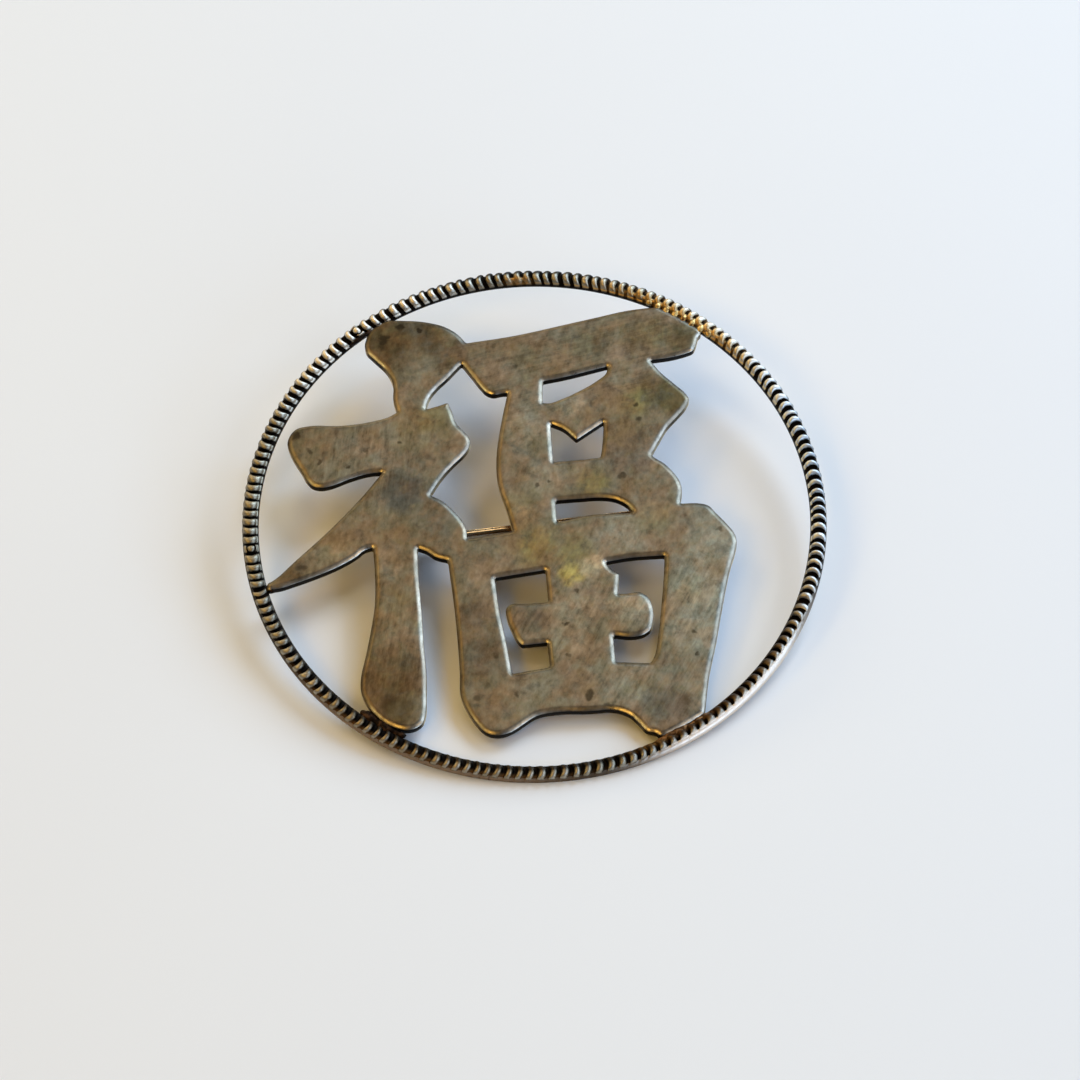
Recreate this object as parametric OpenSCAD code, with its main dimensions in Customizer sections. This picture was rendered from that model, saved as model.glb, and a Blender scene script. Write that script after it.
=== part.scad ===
// Round silver brooch: a pierced sheet in the form of the traditional good fortune character,
// soldered inside a ring of milled wire, with a plain hinged pin stem and a hook catch behind.
// It lies face up as it would by itself, on its hinge, its catch and the near edge of the ring.

/* [Ring] */
// Outer diameter of the ring
brooch_d = 50; // [46:1:56]
// Width of the ring wire at its base
ring_w = 1.4; // [1.2:0.1:1.6]
// Height of the ring wire to the top of its beads
ring_h = 0.95; // [0.9:0.05:1.2]
// Number of beads milled round the ring
bead_count = 172; // [150:1:180]
// Width of the groove between two beads
groove_w = 0.36; // [0.2:0.02:0.4]
// Depth of the groove between two beads
groove_depth = 0.26; // [0.1:0.02:0.3]

/* [Pierced plate] */
// Thickness of the pierced sheet
plate_t = 0.8; // [0.7:0.05:0.85]
// Height of the solder that joins the sheet to the ring
solder_h = 0.5; // [0.3:0.05:0.6]
// Number of straight walls along each curved stretch of an outline
curve_steps = 3; // [2:1:5]

/* [Pin] */
// Diameter of the pin stem wire
pin_d = 0.8; // [0.7:0.05:0.9]
// Depth of the pin stem's axis below the back of the sheet
pin_depth = 2; // [1.9:0.1:2.4]
// Slope of the pin stem across the brooch, in degrees
pin_slope = 7.9; // [0:0.1:10]
// Distance of the pin stem's line above the centre of the ring
pin_rise = 0.28; // [0:0.02:0.4]
// Distance of the hinge to the left of the middle, along the pin stem
hinge_run = 11.8; // [11.5:0.1:12]
// Distance of the catch to the right of the middle, along the pin stem
catch_run = 10.6; // [10:0.1:11]
// Length of the tip of the pin stem past the middle of the catch
tip_run = 2.1; // [1.8:0.1:2.4]

/* [Hidden] */

$fn = 48;
drawn_d = 50;
grow = brooch_d / drawn_d;
ring_r = brooch_d / 2;
ring_inner_r = ring_r - ring_w;
plate_reach_r = ring_inner_r + 0.4;
flank_lean = 0.12;
flank_h = ring_h - 0.33;
crown_inset = 0.36;
overlap = 0.2;

running_gap = 0.05;
eye_r = 1.1;
eye_w = 1;
eye_bore_r = pin_d / 2 + running_gap;
rivet_r = pin_d / 2;
side_gap = 0.1;
ear_in = eye_w / 2 + side_gap;
ear_t = 0.55;
ear_out = ear_in + ear_t;
bracket_l = 3;
foot_t = 0.45;
rivet_head_r = 0.65;
rivet_head_t = 0.25;
point_l = 2.4;
point_d = 0.2;

hook_r = 1.3;
hook_t = 0.5;
hook_l = 2.2;
hook_foot_l = 2.8;
hook_lip = 0.15;

// The brooch tips about the pin stem's line until the near edge of the ring is as low as the hook.
pin_to_edge = ring_r + pin_rise;
rest_tilt = asin(hook_r / norm([pin_to_edge, pin_depth])) + atan(pin_depth / pin_to_edge);
// The ears are rounded to a radius that brings the near ear down to the same level.
ear_r = (hook_r - ear_out * sin(rest_tilt)) / cos(rest_tilt);

// Every outline is a closed table. Its columns are: across, along, bend.
// A bend of 1 lets the curve run through the point, and 0 keeps a corner there.
outer_edge = [
    [-15.2, 18.9, 0], [-13, 20.25, 0], [-11.7, 19.65, 0],
    // Top of the dot and of the long bar, as far as the ring
    [-10.5, 19.6, 1], [-9.5, 19.45, 1], [-8, 19, 1], [-6.9, 18.25, 1], [-6.1, 17.3, 0],
    [-2, 18.05, 1], [3, 19.35, 1], [10.3, 21.3, 0], [11, 21.7, 0], [15.3, 18.85, 0],
    // Right end and underside of the long bar
    [14.3, 17.9, 1], [14.1, 17.1, 1], [13.8, 16.5, 1], [13.3, 16.25, 1], [10.05, 15.5, 0],
    // Upper right block with its point
    [10.9, 14.35, 1], [12.3, 12.95, 1], [13.15, 12.05, 1], [13.4, 11.5, 1], [13.25, 11.05, 1],
    [12.3, 9.7, 1], [11.45, 8.65, 1], [10.9, 7.6, 1], [10.3, 6.4, 1], [10.1, 5.95, 1],
    // Middle right block, round to its step
    [10.4, 5.6, 1], [11, 5.2, 1], [11.95, 4.15, 1], [12.45, 3.35, 1], [12.65, 2.5, 1],
    [12.5, 1.07, 0],
    // Shoulder and long right side of the field
    [14.2, 1.1, 1], [14.8, 0.95, 1], [15.5, 0.2, 1], [16.5, -1, 1], [17.05, -1.8, 1],
    [17.25, -2.7, 1], [17.1, -3.6, 1], [16.75, -4.8, 1], [15.8, -9.5, 1], [15.35, -12.1, 1],
    [14.7, -15.3, 1], [14.3, -18.5, 0], [14.9, -19, 0],
    // Right foot, soldered to the ring, and the arch to the left foot
    [10.9, -21.6, 0], [10.2, -20.75, 1], [9.5, -20.6, 1], [8.85, -19.9, 1], [8.05, -19.1, 1],
    [7.2, -18.72, 1], [4.5, -18.75, 1], [1.8, -18.85, 1], [0.3, -19.2, 1], [-0.7, -19.9, 1],
    [-1.75, -20.65, 1], [-2.6, -20.95, 1], [-3.3, -20.95, 1], [-3.9, -20.7, 1],
    [-4.65, -19.9, 1], [-5.5, -18.55, 1], [-5.95, -17.5, 1], [-6.1, -15.3, 1],
    [-6.35, -12.1, 1], [-6.75, -8.4, 1], [-7.3, -4.45, 0],
    // Underside of the link, then the tall left stroke with its foot
    [-8, -4.3, 1], [-8.5, -4.1, 1], [-9, -3.7, 1], [-9.9, -3.3, 0],
    [-9.8, -5.3, 1], [-9.4, -9.5, 1], [-9.15, -12.7, 1], [-8.9, -15.1, 1], [-8.83, -17.5, 1],
    [-8.85, -19, 1], [-9.1, -19.85, 1], [-9.6, -20.3, 1], [-10.3, -20.5, 1], [-11, -20.4, 1],
    [-11.75, -20.1, 1], [-12.6, -19.55, 1], [-13.4, -18.7, 1], [-13.95, -17.8, 1],
    [-14.3, -16.9, 1], [-14.35, -15.8, 1], [-14, -13.6, 1], [-13.6, -10.9, 1],
    [-13.4, -9, 1], [-13.45, -6, 1], [-13.7, -3.25, 0],
    // Falling stroke, out to its tip on the ring and back
    [-14.4, -3.5, 1], [-15, -4.05, 1], [-16.5, -5.05, 1], [-19, -6.25, 1], [-20.5, -6.85, 1],
    [-21.3, -7.15, 1], [-22, -7.3, 1], [-22.9, -7.7, 0], [-23.3, -6.85, 0], [-22.5, -6.75, 0],
    [-21.9, -6.3, 1], [-20.5, -4.8, 1], [-17.3, -1.35, 1], [-14.6, 1.98, 1], [-13.1, 4.15, 0],
    // Broad arm with its rounded end
    [-14.1, 4.05, 1], [-16.1, 3.4, 1], [-17.5, 2.78, 1], [-18.3, 2.62, 1], [-19, 2.75, 1],
    [-19.5, 3.2, 1], [-20.05, 4.15, 1], [-21.2, 6.3, 1], [-21.4, 6.95, 1], [-21.25, 7.75, 1],
    [-20.7, 8.5, 1], [-19.7, 8.8, 1], [-17, 8.85, 1], [-14.3, 9.25, 1], [-12.7, 9.75, 1],
    [-12, 10.2, 0],
    // Left side of the dot, back to the ring
    [-12.35, 11.4, 1], [-12.4, 12.9, 1], [-12.6, 13.6, 1], [-13.05, 14.4, 1], [-14.3, 15.75, 1],
    [-14.85, 16.4, 1], [-15, 16.95, 1], [-14.8, 18.1, 0],
];

// Gap between the two halves of the character
middle_gap = [
    [-6.45, 15.15, 0], [-7, 14.5, 1], [-7.6, 13.75, 1], [-8.55, 12.7, 1], [-9.2, 11.7, 1],
    [-9.5, 10.5, 0], [-8.45, 10.85, 1], [-7.6, 11.2, 0], [-7.2, 10.2, 1], [-6.8, 9.05, 1],
    [-6.1, 8.2, 1], [-5.6, 7.4, 1], [-5.6, 6.85, 1], [-6.05, 6, 1], [-6.85, 5.1, 1],
    [-7.8, 3.9, 1], [-8.95, 1.9, 0], [-8, 1.4, 1], [-7, 0.45, 1], [-6.1, -0.75, 1],
    [-5.75, -1.6, 1], [-5.7, -2.4, 0], [-1.8, -1.7, 0], [-2.1, -0.5, 1], [-2.5, 0.9, 1],
    [-2.95, 2.3, 1], [-3.25, 3.9, 1], [-3.3, 5.6, 1], [-3.05, 8.2, 1], [-2.75, 10.2, 1],
    [-2.4, 12.15, 0], [-3, 12.1, 1], [-3.6, 11.95, 1], [-4.2, 12.15, 1], [-4.8, 12.8, 1],
    [-5.6, 13.95, 1],
];

// Slanting lens under the long bar
lens_gap = [
    [0.65, 13.35, 0], [2.2, 13.7, 1], [6.35, 14.9, 0], [6.2, 14.2, 1], [5.5, 13.5, 1],
    [3.9, 12.4, 1], [2.2, 11.5, 1], [1.3, 11.15, 1], [0.65, 11.15, 0],
];

// Mouth with its notched top
mouth_gap = [
    [1.35, 9.05, 0], [2.4, 8.55, 1], [3.6, 7.4, 0], [4.7, 8.25, 1], [5.95, 9.2, 0],
    [5.9, 7.6, 1], [5.7, 5.65, 0], [3.6, 5.4, 1], [1.6, 5.2, 0],
];

// Long slit over the field
slit_gap = [
    [1.8, 1.35, 0], [4.1, 1.55, 1], [5.6, 1.65, 1], [7, 1.45, 1], [8, 0.85, 1],
    [8.45, 0.2, 0], [7.1, 0.13, 1], [4.9, -0.05, 1], [1.95, -0.75, 0],
];

// Left opening of the field
field_left_gap = [
    [-3.3, -6.2, 0], [1, -5.4, 0], [1.25, -8.5, 0], [-0.7, -8.65, 1], [-2.1, -8.8, 1],
    [-2.3, -9.1, 1], [-2.25, -9.9, 1], [-1.85, -11.05, 1], [-1.3, -12.2, 1], [-0.95, -12.6, 0],
    [1.2, -12.35, 0], [1.4, -14.65, 0], [-1.75, -15.25, 0], [-2.3, -12.1, 1], [-2.85, -9.4, 1],
];

// Right opening of the field
field_right_gap = [
    [6.05, -4.65, 0], [8.1, -4.25, 1], [11.1, -4, 0], [11, -6, 1], [10.75, -9, 1],
    [10.45, -11.9, 1], [10.1, -13.7, 1], [9.8, -14.25, 0], [6.9, -14.15, 0], [6.7, -11.65, 0],
    [9.2, -11.6, 1], [9.8, -11.15, 1], [10.1, -10.1, 1], [10, -8.8, 1], [9.6, -7.95, 1],
    [8.9, -7.52, 1], [8.2, -7.6, 1], [7.1, -7.7, 0], [7.25, -5.8, 0], [6.45, -5.25, 1],
];

gaps = [middle_gap, lens_gap, mouth_gap, slit_gap, field_left_gap, field_right_gap];

// Solder spots between sheet and ring. The columns are: across, along, radius.
solder_spots = [
    [-13.6, 19.1, 0.9],
    [12.9, 19.4, 1.1],
    [-22.9, -7, 0.8],
    [-12.8, -19.9, 0.9],
    [12.9, -19.7, 1],
];

// Curve through the rows of a table, with straight lines between neighbouring corners.
function place(row) = [row[0], row[1]] * grow;
function unit(v) = v / norm(v);
function heading(before, here, after, bend, straight) =
    bend == 0
        ? straight
        : unit(unit(here - before) * norm(after - here) + unit(after - here) * norm(here - before));
function blend(a, b, leave, arrive, reach, t) =
    a * (2 * pow(t, 3) - 3 * pow(t, 2) + 1)
    + b * (3 * pow(t, 2) - 2 * pow(t, 3))
    + leave * reach * (pow(t, 3) - 2 * pow(t, 2) + t)
    + arrive * reach * (pow(t, 3) - pow(t, 2));
function stretch(before, here, next, after, bend, next_bend) =
    let (
        reach = norm(next - here),
        straight = unit(next - here),
        leave = heading(before, here, next, bend, straight),
        arrive = heading(here, next, after, next_bend, straight),
        steps = bend + next_bend == 0 ? 1 : curve_steps
    )
    [for (k = [0 : steps - 1]) blend(here, next, leave, arrive, reach, k / steps)];
function outline(table) =
    let (n = len(table))
    [
        for (i = [0 : n - 1])
            each stretch(
                place(table[(i + n - 1) % n]),
                place(table[i]),
                place(table[(i + 1) % n]),
                place(table[(i + 2) % n]),
                table[i][2],
                table[(i + 1) % n][2]
            )
    ];

// Moves from the flat brooch, with its back at zero height, to the brooch at rest.
module at_rest() {
    translate([0, 0, ring_r * sin(rest_tilt)])
        rotate([0, 0, pin_slope])
            rotate([rest_tilt, 0, 0])
                rotate([0, 0, -pin_slope])
                    children();
}

// Places children on the pin stem's line, which runs along X at the depth of its axis.
module on_pin_line(run) {
    rotate([0, 0, pin_slope])
        translate([run, pin_rise, -pin_depth])
            children();
}

// Round bar along X, centred on its length.
module bar_x(r, l) {
    rotate([0, 90, 0])
        cylinder(r = r, h = l, center = true);
}

// Round bar along Y, centred on its length.
module bar_y(r, l) {
    rotate([90, 0, 0])
        cylinder(r = r, h = l, center = true);
}

module ring_band() {
    rotate_extrude($fn = 180)
        polygon([
            [ring_inner_r, 0],
            [ring_r, 0],
            [ring_r - flank_lean, flank_h],
            [ring_r - crown_inset, ring_h],
            [ring_inner_r + crown_inset, ring_h],
            [ring_inner_r + flank_lean, flank_h],
        ]);
}

module bead_groove() {
    translate([ring_inner_r - overlap, 0, 0])
        rotate([90, 0, 90])
            linear_extrude(ring_w + 2 * overlap)
                polygon([
                    [0, ring_h - groove_depth],
                    [groove_w, ring_h + groove_depth],
                    [-groove_w, ring_h + groove_depth],
                ]);
}

module milled_ring() {
    difference() {
        ring_band();
        for (i = [0 : bead_count - 1])
            rotate([0, 0, i * 360 / bead_count])
                bead_groove();
    }
}

module pierced_plate() {
    intersection() {
        linear_extrude(plate_t)
            difference() {
                polygon(outline(outer_edge));
                for (gap = gaps)
                    polygon(outline(gap));
            }
        cylinder(r = plate_reach_r, h = 2 * plate_t, $fn = 180);
    }
}

module solder() {
    for (spot = solder_spots)
        translate([spot[0], spot[1], 0] * grow)
            cylinder(r = spot[2], h = solder_h);
}

module hinge_bracket() {
    foot_w = 2 * ear_out;
    on_pin_line(-hinge_run)
        difference() {
            union() {
                translate([-bracket_l / 2, -foot_w / 2, pin_depth - foot_t])
                    cube([bracket_l, foot_w, foot_t + overlap]);
                for (side = [-1, 1])
                    translate([0, side * (ear_in + ear_t / 2), 0]) {
                        bar_y(ear_r, ear_t);
                        translate([-ear_r, -ear_t / 2, 0])
                            cube([2 * ear_r, ear_t, pin_depth]);
                    }
            }
            bar_y(rivet_r + running_gap, 2 * foot_w);
        }
}

module hook_catch() {
    on_pin_line(catch_run) {
        difference() {
            bar_x(hook_r, hook_l);
            bar_x(hook_r - hook_t, 2 * hook_l);
            translate([-hook_l, -2 * hook_r, hook_lip])
                cube([2 * hook_l, 4 * hook_r, 2 * hook_r]);
        }
        translate([-hook_l / 2, hook_r - hook_t, 0])
            cube([hook_l, hook_t, pin_depth]);
        translate([-hook_foot_l / 2, -hook_r / 2, pin_depth - foot_t])
            cube([hook_foot_l, hook_r * 1.5, foot_t + overlap]);
    }
}

module pierced_body() {
    color([0.62, 0.6, 0.55])
        at_rest() {
            milled_ring();
            pierced_plate();
            solder();
            hinge_bracket();
            hook_catch();
        }
}

module pin_stem() {
    wire_l = hinge_run + catch_run + tip_run;
    color([0.75, 0.6, 0.42])
        at_rest()
            on_pin_line(-hinge_run)
                difference() {
                    union() {
                        bar_y(eye_r, eye_w);
                        rotate([0, 90, 0])
                            cylinder(d = pin_d, h = wire_l - point_l);
                        translate([wire_l - point_l, 0, 0])
                            rotate([0, 90, 0])
                                cylinder(d1 = pin_d, d2 = point_d, h = point_l);
                    }
                    bar_y(eye_bore_r, 2 * eye_w);
                }
}

module hinge_rivet() {
    head_place = ear_out + running_gap + rivet_head_t / 2;
    color([0.7, 0.68, 0.64])
        at_rest()
            on_pin_line(-hinge_run) {
                bar_y(rivet_r, 2 * head_place);
                for (side = [-1, 1])
                    translate([0, side * head_place, 0])
                        bar_y(rivet_head_r, rivet_head_t);
            }
}

pierced_body();
pin_stem();
hinge_rivet();
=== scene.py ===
import math

import bmesh
import bpy
import numpy as np
from mathutils import Matrix, Vector
from mathutils.geometry import delaunay_2d_cdt


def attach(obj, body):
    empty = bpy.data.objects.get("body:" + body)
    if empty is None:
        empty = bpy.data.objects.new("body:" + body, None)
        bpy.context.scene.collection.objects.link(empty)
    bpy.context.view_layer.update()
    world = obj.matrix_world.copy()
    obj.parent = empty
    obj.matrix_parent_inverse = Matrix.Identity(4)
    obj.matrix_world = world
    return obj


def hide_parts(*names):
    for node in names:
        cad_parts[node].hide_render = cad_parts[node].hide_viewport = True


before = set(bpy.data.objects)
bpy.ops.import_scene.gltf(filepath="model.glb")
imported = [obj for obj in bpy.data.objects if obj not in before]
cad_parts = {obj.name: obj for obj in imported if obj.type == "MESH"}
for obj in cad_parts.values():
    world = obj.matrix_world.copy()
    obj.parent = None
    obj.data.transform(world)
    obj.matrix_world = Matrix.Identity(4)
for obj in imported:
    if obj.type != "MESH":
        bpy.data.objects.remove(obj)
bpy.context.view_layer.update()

# Sizes in millimetres are given for the brooch lying flat, with its back at zero height
MM = 0.001
DRAWN_RING_R = 25.0
DRAWN_RING_W = 1.4
BODY = "root"

# Limits by which the sheet's front and back are told from other faces
TINY_AREA = 1e-14
FACES_UP = 0.9
SAME_WAY = 0.9999


# The frame


def mesh_arrays(obj):
    """Corner points and triangles of a mesh as arrays."""
    mesh = obj.data
    mesh.calc_loop_triangles()
    co = np.empty(len(mesh.vertices) * 3)
    mesh.vertices.foreach_get("co", co)
    tri = np.empty(len(mesh.loop_triangles) * 3, int)
    mesh.loop_triangles.foreach_get("vertices", tri)
    return co.reshape(-1, 3), tri.reshape(-1, 3)


def biggest_level(heights, areas):
    """The height at which the most area lies."""
    levels = np.round(heights, 5)
    found = np.unique(levels)
    total = [areas[levels == level].sum() for level in found]
    return found[int(np.argmax(total))]


def on_flat(to_row, places):
    """Points of the row frame as points on the flat brooch, in millimetres."""
    to_flat = to_row.inverted()
    return np.array([to_flat @ Vector(p) for p in places])


def read_flat_frame(node):
    """Finds how the flat brooch was tipped to its resting place, from the front and back of the sheet."""
    co, tri = mesh_arrays(node)
    corner = co[tri]
    cross = np.cross(corner[:, 1] - corner[:, 0], corner[:, 2] - corner[:, 0])
    size = np.linalg.norm(cross, axis=1)
    keep = size > TINY_AREA
    corner = corner[keep]
    size = size[keep]
    normal = cross[keep] / size[:, None]
    up = normal[:, 2] > FACES_UP
    kinds, which = np.unique(np.round(normal[up], 4), axis=0, return_inverse=True)
    share = np.bincount(which.ravel(), weights=size[up])
    tipped = Vector(kinds[int(np.argmax(share))]).normalized()
    way = np.array(tipped)
    front = normal @ way > SAME_WAY
    back = normal @ way < -SAME_WAY
    front_level = biggest_level(corner[front].mean(1) @ way, size[front])
    back_level = biggest_level(corner[back].mean(1) @ way, size[back])
    turn = Vector((0, 0, 1)).rotation_difference(tipped).to_matrix().to_4x4()
    to_row = Matrix.Translation((0, 0, back_level / tipped.z)) @ turn @ Matrix.Scale(MM, 4)
    thickness = (front_level - back_level) / MM
    return to_row, thickness, on_flat(to_row, co), tri


body_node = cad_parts["pierced_body"]
stem_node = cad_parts["pin_stem"]
rivet_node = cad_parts["hinge_rivet"]
TO_ROW, SHEET_T, flat_co, flat_tri = read_flat_frame(body_node)
RING_R = float(np.hypot(flat_co[:, 0], flat_co[:, 1]).max())
GROW = RING_R / DRAWN_RING_R
RING_W = DRAWN_RING_W * GROW
RING_INNER_R = RING_R - RING_W


# Outline of the sheet

FRONT_TOLERANCE = 0.004
FEWEST_POINTS = 8
CLOSEST_POINTS = 0.02

# How the outline is carried along under the ring's inner edge
TUCK_FROM = 0.03
TUCK_DEPTH = 0.05
TUCK_STEP = 0.5
TUCK_EASE = 0.45
TUCK_EASE_SHARE = 0.2

# Spacing of the smoothed outline, the turn from which a corner is sharp, and rounds of easing
OUTLINE_STEP = 0.13
CORNER_TURN = 27.0
EASING_ROUNDS = 2

ROWS_AT_ONCE = 1500
NO_RISE = 1e-9


def boundary_edges(tris):
    """Directed edges that only one triangle uses."""
    seen = set()
    for a, b, c in tris:
        seen.update(((a, b), (b, c), (c, a)))
    return [(a, b) for a, b in seen if (b, a) not in seen]


def top_loops():
    """Closed outlines of the sheet's front, in order, with the metal on their left."""
    on_top = np.all(np.abs(flat_co[flat_tri][:, :, 2] - SHEET_T) < FRONT_TOLERANCE, axis=1)
    spots = {}
    index = []
    for p in np.round(flat_co[:, :2], 3):
        index.append(spots.setdefault((p[0], p[1]), len(spots)))
    place = np.array(list(spots))
    follow = dict(boundary_edges(np.array(index)[flat_tri[on_top]]))
    loops = []
    while follow:
        start, here = follow.popitem()
        chain = [start]
        while here != start:
            chain.append(here)
            here = follow.pop(here)
        loops.append(place[chain])
    return [loop for loop in loops if len(loop) > FEWEST_POINTS]


def ring_run(run):
    """Points along the ring's inner edge in place of a run of outline points that lie under the ring."""
    if not run:
        return []
    start = math.atan2(run[0][1], run[0][0])
    end = math.atan2(run[-1][1], run[-1][0])
    turn = (end - start + math.pi) % (2 * math.pi) - math.pi
    length = abs(turn) * RING_INNER_R
    ease = min(TUCK_EASE, TUCK_EASE_SHARE * length) / RING_INNER_R * math.copysign(1, turn)
    radius = RING_INNER_R + TUCK_DEPTH
    steps = max(1, int(length / TUCK_STEP))
    made = []
    for k in range(steps + 1):
        angle = start + ease + (turn - 2 * ease) * k / steps
        made.append((radius * math.cos(angle), radius * math.sin(angle)))
    return made


def tuck_under_ring(loop):
    """Where the outline meets the ring, carries it along the ring's inner edge."""
    radius = np.hypot(loop[:, 0], loop[:, 1])
    outside = radius > RING_INNER_R + TUCK_FROM
    if not outside.any():
        return loop
    first = int(np.argmin(outside))
    made = []
    run = []
    for is_outside, p in zip(np.roll(outside, -first), np.roll(loop, -first, axis=0)):
        if is_outside:
            run.append(p)
        else:
            made += ring_run(run) + [tuple(p)]
            run = []
    return np.array(made + ring_run(run))


def without_doubles(loop):
    """Drops points that lie almost on their neighbour."""
    step = np.linalg.norm(loop - np.roll(loop, 1, axis=0), axis=1)
    return loop[step > CLOSEST_POINTS]


def smooth_loop(loop):
    """Curve through the points, kept sharp at true corners and then eased as if filed."""
    n = len(loop)
    ahead = np.roll(loop, -1, axis=0) - loop
    reach = np.linalg.norm(ahead, axis=1)
    way = ahead / reach[:, None]
    before = np.roll(way, 1, axis=0)
    cosine = np.clip((before * way).sum(1), -1, 1)
    corner = np.degrees(np.arccos(cosine)) > CORNER_TURN
    back = np.roll(reach, 1)
    tangent = before * reach[:, None] + way * back[:, None]
    tangent /= np.linalg.norm(tangent, axis=1)[:, None]
    made = []
    for i in range(n):
        j = (i + 1) % n
        leave = way[i] if corner[i] else tangent[i]
        arrive = way[i] if corner[j] else tangent[j]
        steps = max(1, int(math.ceil(reach[i] / OUTLINE_STEP)))
        for k in range(steps):
            t = k / steps
            made.append(
                loop[i] * (2 * t**3 - 3 * t**2 + 1)
                + loop[j] * (3 * t**2 - 2 * t**3)
                + leave * reach[i] * (t**3 - 2 * t**2 + t)
                + arrive * reach[i] * (t**3 - t**2)
            )
    made = np.array(made)
    for _ in range(EASING_ROUNDS):
        made = 0.5 * made + 0.25 * (np.roll(made, 1, axis=0) + np.roll(made, -1, axis=0))
    return made


def inward(loop):
    """Unit vectors at each point of an outline, pointing into the metal."""
    along = np.roll(loop, -1, axis=0) - np.roll(loop, 1, axis=0)
    along /= np.linalg.norm(along, axis=1)[:, None]
    return np.column_stack([-along[:, 1], along[:, 0]])


def edge_ends(loops):
    """Both ends of every edge of the outlines."""
    starts = np.concatenate(loops)
    ends = np.concatenate([np.roll(loop, -1, axis=0) for loop in loops])
    return starts, ends


def loop_pairs(loops):
    """Numbers of neighbouring points, with the points of all outlines counted on from one to the next."""
    pairs = []
    start = 0
    for loop in loops:
        n = len(loop)
        pairs += [(start + i, start + (i + 1) % n) for i in range(n)]
        start += n
    return pairs


def nearest_edge(loops, points):
    """Distance of each point from the nearest outline, and the direction in which that edge faces."""
    a, b = edge_ends(loops)
    d = b - a
    length2 = (d * d).sum(1)
    best = np.empty(len(points))
    facing = np.empty((len(points), 2))
    for i in range(0, len(points), ROWS_AT_ONCE):
        rows = slice(i, i + ROWS_AT_ONCE)
        p = points[rows, None, :]
        t = np.clip(((p - a) * d).sum(2) / length2, 0, 1)
        gap = p - a - t[:, :, None] * d
        away = (gap * gap).sum(2)
        nearest = away.argmin(1)
        best[rows] = np.sqrt(away.min(1))
        outward = np.column_stack([d[nearest, 1], -d[nearest, 0]])
        facing[rows] = outward / np.sqrt(length2[nearest])[:, None]
    return best, facing


def inside_of(loops, points):
    """Whether each point lies in the metal, by counting outline crossings to its right."""
    a, b = edge_ends(loops)
    rise = b[:, 1] - a[:, 1]
    slope = (b[:, 0] - a[:, 0]) / np.where(rise == 0, NO_RISE, rise)
    inside = np.zeros(len(points), bool)
    for i in range(0, len(points), ROWS_AT_ONCE):
        p = points[i:i + ROWS_AT_ONCE, None, :]
        crosses = (a[:, 1] > p[:, :, 1]) != (b[:, 1] > p[:, :, 1])
        right = a[:, 0] + (p[:, :, 1] - a[:, 1]) * slope > p[:, :, 0]
        inside[i:i + ROWS_AT_ONCE] = (crosses & right).sum(1) % 2 == 1
    return inside


# Mesh helpers

JOIN_WITHIN = 1e-6


def new_piece(name, verts, faces, materials, face_slots=None):
    """Makes an object in the row frame from points given on the flat brooch in millimetres."""
    placed = [TO_ROW @ Vector(v) for v in verts]
    mesh = bpy.data.meshes.new(name)
    mesh.from_pydata(placed, [], faces)
    for material in materials:
        mesh.materials.append(material)
    if face_slots is not None:
        mesh.polygons.foreach_set("material_index", np.asarray(face_slots, dtype=np.int32))
    mesh.polygons.foreach_set("use_smooth", [True] * len(mesh.polygons))
    mesh.update()
    mesh.validate()
    obj = bpy.data.objects.new(name, mesh)
    bpy.context.scene.collection.objects.link(obj)
    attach(obj, BODY)
    return obj


def mark(obj, name, values):
    """Stores one number per point on a mesh, for its material to read."""
    layer = obj.data.attributes.new(name, "FLOAT", "POINT")
    layer.data.foreach_set("value", np.asarray(values, dtype=np.float32))


def sharpen(obj, degrees):
    """Keeps edges sharp where the surface turns by more than the given angle."""
    bm = bmesh.new()
    bm.from_mesh(obj.data)
    for edge in bm.edges:
        turned = len(edge.link_faces) == 2 and edge.calc_face_angle(0) > math.radians(degrees)
        edge.smooth = not turned
    bm.to_mesh(obj.data)
    bm.free()


def band_faces(rows, count, closed):
    """Four-sided faces between rows of points that each close on themselves."""
    faces = []
    for row in range(rows if closed else rows - 1):
        here = row * count
        there = (row + 1) % rows * count
        for k in range(count):
            after = (k + 1) % count
            faces.append((here + k, there + k, there + after, here + after))
    return faces


def arc(radius, start, end, steps):
    """Points on an arc, angles in degrees."""
    made = []
    for k in range(steps + 1):
        a = math.radians(start + (end - start) * k / steps)
        made.append((radius * math.cos(a), radius * math.sin(a)))
    return made


# The pierced sheet

EDGE_WIDTH = 0.44
EDGE_SLOPE = 0.21
EDGE_LIP = 0.02
EDGE_DEPTHS = (0.012, 0.035, 0.07, 0.12, 0.19, 0.27, 0.36, 0.46)
WALL_LEVELS = (0.3, 0.04)
INSIDE_CORNER = -0.12
ROW_CLEARANCE = 0.97

# The loose net of points between the edges: its reach, spacing, row height, shake and distance from edges
NET_REACH = 24
NET_STEP = 0.42
NET_ROW = 0.87
NET_SHAKE = 0.07
NET_MARGIN = 0.53


def edge_drop(depth):
    """How far the rubbed edge lies below the front: a soft slope that turns over into a lip at the rim."""
    t = 1 - np.minimum(depth, EDGE_WIDTH) / EDGE_WIDTH
    return EDGE_SLOPE * t**1.7 + EDGE_LIP * (1 - np.sqrt(np.maximum(1 - t**24, 0)))


def rubbed_and_lit_share(facing):
    """How bright each edge is: rubbed silver with a painted highlight where the light falls, most where it
    faces right or down, least where it faces up.
    """
    to_left = np.maximum(-facing[:, 0], 0)
    return np.clip(0.86 - 0.95 * facing[:, 1] - 0.7 * to_left, 0.15, 1)


def rim_shade_share(facing):
    """How far an edge gets painted shade, a dark line at its rim and a dark wall, and a paler edge colour:
    fully where it faces up or down, not at all sideways.
    """
    return np.clip((np.abs(facing[:, 1]) - 0.3) / 0.4, 0, 1)


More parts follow.
